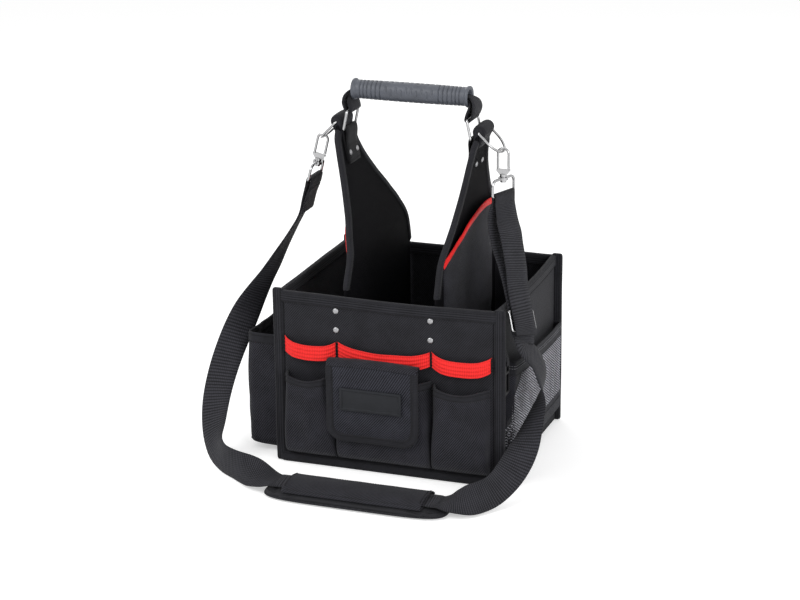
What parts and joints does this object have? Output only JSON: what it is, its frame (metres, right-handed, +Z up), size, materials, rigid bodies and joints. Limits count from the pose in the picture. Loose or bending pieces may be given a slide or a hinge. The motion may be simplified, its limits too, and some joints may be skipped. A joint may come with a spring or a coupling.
{
  "type": "electrician tool tote bag",
  "caption": "Open fabric tool tote with winged dividers that carry a rubber grip, outer pockets with a flap and a red tool band, and a padded shoulder strap on snap hooks.",
  "frame": {"origin": "middle of the base's underside, on the floor", "axes": "+Z up, +Y towards the back, so that the flap pocket faces -Y, and +X towards the net pocket"},
  "size_m": [0.476, 0.419, 0.5048],
  "materials": {
    "padded_fabric": "padded black polyester, fine canvas weave",
    "pocket_fabric": "black polyester with a coarse ribbed weave",
    "binding": "black woven tape binding, stitched",
    "webbing": "black ribbed polypropylene webbing",
    "red_elastic": "red elastic, satin rib",
    "net": "light grey knitted net",
    "hook_loop": "hook and loop tape",
    "base_board": "stiff covered board",
    "patch_rubber": "moulded matt rubber",
    "grip_rubber": "dark grey moulded rubber",
    "nickel": "nickel-plated wire and castings, satin bright",
    "rivet_nickel": "nickel-plated rivet caps",
    "clip_plastic": "black moulded plastic",
    "pad_fabric": "black padded cover"
  },
  "bodies": {
    "root": {"base_panel": "base_board", "front_wall": "padded_fabric", "back_wall": "padded_fabric", "left_wall": "padded_fabric", "right_wall": "padded_fabric", "corner_bindings": "binding", "rim_bindings": "binding", "foot_bands": "binding", "wing_left": "padded_fabric", "wing_right": "padded_fabric", "wing_pocket_left": "pocket_fabric", "wing_pocket_right": "pocket_fabric", "ring_tab_left": "webbing", "ring_tab_right": "webbing", "tab_rivets": "rivet_nickel", "divider_rivets": "rivet_nickel", "tool_band": "red_elastic", "front_pocket_left": "pocket_fabric", "front_pocket_center": "pocket_fabric", "front_pocket_right": "pocket_fabric", "flap_fold": "pocket_fabric", "flap_loop_tape": "hook_loop", "side_pocket_left": "pocket_fabric", "mesh_pocket_frame": "pocket_fabric", "mesh_net": "net", "back_pocket_left": "pocket_fabric", "back_pocket_right": "pocket_fabric", "tape_loop": "webbing", "clip_tab": "webbing", "d_ring_left": "nickel", "d_ring_right": "nickel", "hook_eye_left": "nickel", "hook_eye_right": "nickel", "shoulder_strap": "webbing"},
    "flap": {"flap": "pocket_fabric", "flap_patch": "patch_rubber", "flap_hook_tape": "hook_loop"},
    "side_clip": {"side_clip": "clip_plastic"},
    "ring_left": {"ring_left": "nickel"},
    "ring_right": {"ring_right": "nickel"},
    "handle": {"handle_webbing": "webbing"},
    "grip": {"grip": "grip_rubber"},
    "hook_left": {"hook_body_left": "nickel"},
    "hook_right": {"hook_body_right": "nickel"},
    "gate_left": {"hook_gate_left": "nickel"},
    "gate_right": {"hook_gate_right": "nickel"},
    "slider": {"strap_slider": "nickel"},
    "pad": {"shoulder_pad": "pad_fabric", "pad_sleeve": "pad_fabric"}
  },
  "joints": [
    {"name": "ring_left_swing", "type": "hinge", "parent": "root", "child": "ring_left", "pos_m": [-0.0875, -0.028, 0.43839], "axis": [0, 1, 0], "range_deg": [-12, 12]},
    {"name": "handle_level", "type": "hinge", "parent": "ring_left", "child": "handle", "pos_m": [-0.08189, -0.028, 0.4648], "axis": [0, 1, 0], "range_deg": [-13, 13]},
    {"name": "ring_right_swing", "type": "hinge", "parent": "root", "child": "ring_right", "pos_m": [0.0875, -0.028, 0.43839], "axis": [0, 1, 0], "range_deg": [-12, 12]},
    {"name": "grip_twist", "type": "hinge", "parent": "handle", "child": "grip", "pos_m": [0, -0.028, 0.4908], "axis": [1, 0, 0], "range_deg": [-25, 25]},
    {"name": "flap_lift", "type": "hinge", "parent": "root", "child": "flap", "pos_m": [-0.013, -0.15525, 0.162], "axis": [-1, 0, 0], "range_deg": [0, 120]},
    {"name": "clip_swing", "type": "hinge", "parent": "root", "child": "side_clip", "pos_m": [0.156, -0.1135, 0.166], "axis": [0, -1, 0], "range_deg": [-3, 50]},
    {"name": "hook_left_swivel", "type": "hinge", "parent": "root", "child": "hook_left", "pos_m": [-0.12436, -0.028, 0.42276], "axis": [0.2419, 0, 0.9703], "range_deg": [-25, 25]},
    {"name": "hook_right_swivel", "type": "hinge", "parent": "root", "child": "hook_right", "pos_m": [0.12436, -0.028, 0.42276], "axis": [0, 0, 1], "range_deg": [-25, 25]},
    {"name": "gate_left_press", "type": "hinge", "parent": "hook_left", "child": "gate_left", "pos_m": [-0.1227, -0.028, 0.39967], "axis": [0, -1, 0], "range_deg": [0, 18], "stiffness_Nm_per_rad": 0.03, "springref_deg": -20.05},
    {"name": "gate_right_press", "type": "hinge", "parent": "hook_right", "child": "gate_right", "pos_m": [0.13156, -0.028, 0.40076], "axis": [0, -1, 0], "range_deg": [0, 18], "stiffness_Nm_per_rad": 0.03, "springref_deg": -20.05},
    {"name": "slider_slide", "type": "slide", "parent": "root", "child": "slider", "axis": [-0.2989, 0.3261, 0.8968], "range_m": [-0.006, 0.02]},
    {"name": "pad_slide", "type": "slide", "parent": "root", "child": "pad", "axis": [1, 0, 0], "range_m": [-0.008, 0.008]}
  ],
  "couplings": [
    {"joint": "handle_level", "follows": "ring_left_swing", "ratio": -1.0686},
    {"joint": "ring_right_swing", "follows": "ring_left_swing", "ratio": 1}
  ]
}
